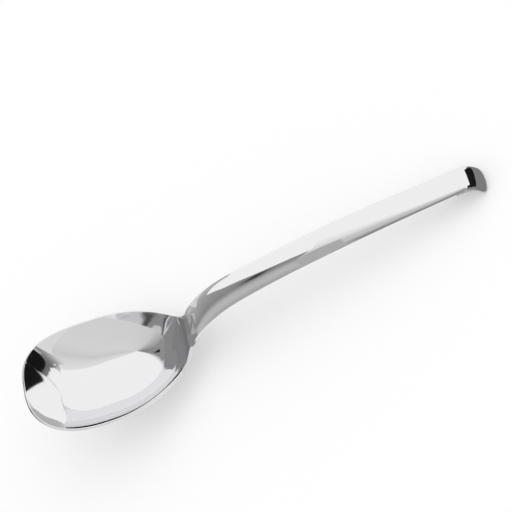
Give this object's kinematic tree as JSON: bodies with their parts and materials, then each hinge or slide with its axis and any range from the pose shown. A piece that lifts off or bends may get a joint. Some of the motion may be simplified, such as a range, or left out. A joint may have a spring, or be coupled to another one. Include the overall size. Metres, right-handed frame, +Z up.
{
  "type": "serving spoon",
  "caption": "Mirror-polished steel serving spoon with a deep blunt-tipped bowl, a steep neck and a long arched handle that ends in a short hook.",
  "frame": {"origin": "centre of the footprint, on the table that the spoon's bowl and hook tip rest on", "axes": "+X from the bowl's tip to the hook, +Y across the spoon, +Z up from the table; the spoon is the same on both sides of Y = 0"},
  "size_m": [0.2742, 0.0688, 0.0497],
  "materials": {
    "polished_steel": "mirror-polished stainless steel"
  },
  "bodies": {
    "root": {"bowl": "polished_steel", "handle": "polished_steel"}
  },
  "joints": []
}
